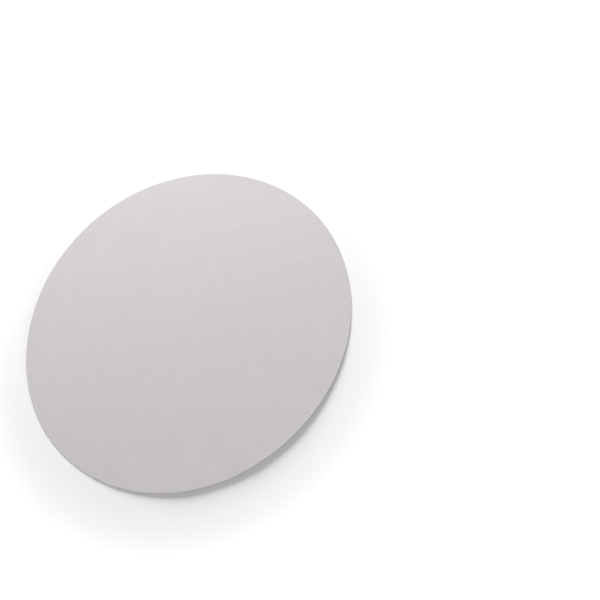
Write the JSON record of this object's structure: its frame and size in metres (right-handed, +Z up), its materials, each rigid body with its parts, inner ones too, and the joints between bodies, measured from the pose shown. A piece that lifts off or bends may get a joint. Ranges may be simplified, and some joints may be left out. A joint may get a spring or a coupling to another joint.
{
  "type": "filter paper disc",
  "caption": "Round sheet of plain white filter paper, stamped in one piece, lying flat with a slight curl at two sides.",
  "frame": {"origin": "middle of the disc, on the surface that its flat middle band rests on", "axes": "+Z up out of the paper's face; the curl bends the sheet about lines along Y, so the sides at -X and +X rise"},
  "size_m": [0.064, 0.064, 0.0009],
  "materials": {
    "filter_paper": "matte, unglazed, finely fibrous"
  },
  "bodies": {
    "root": {"paper_disc": "filter_paper"}
  },
  "joints": []
}
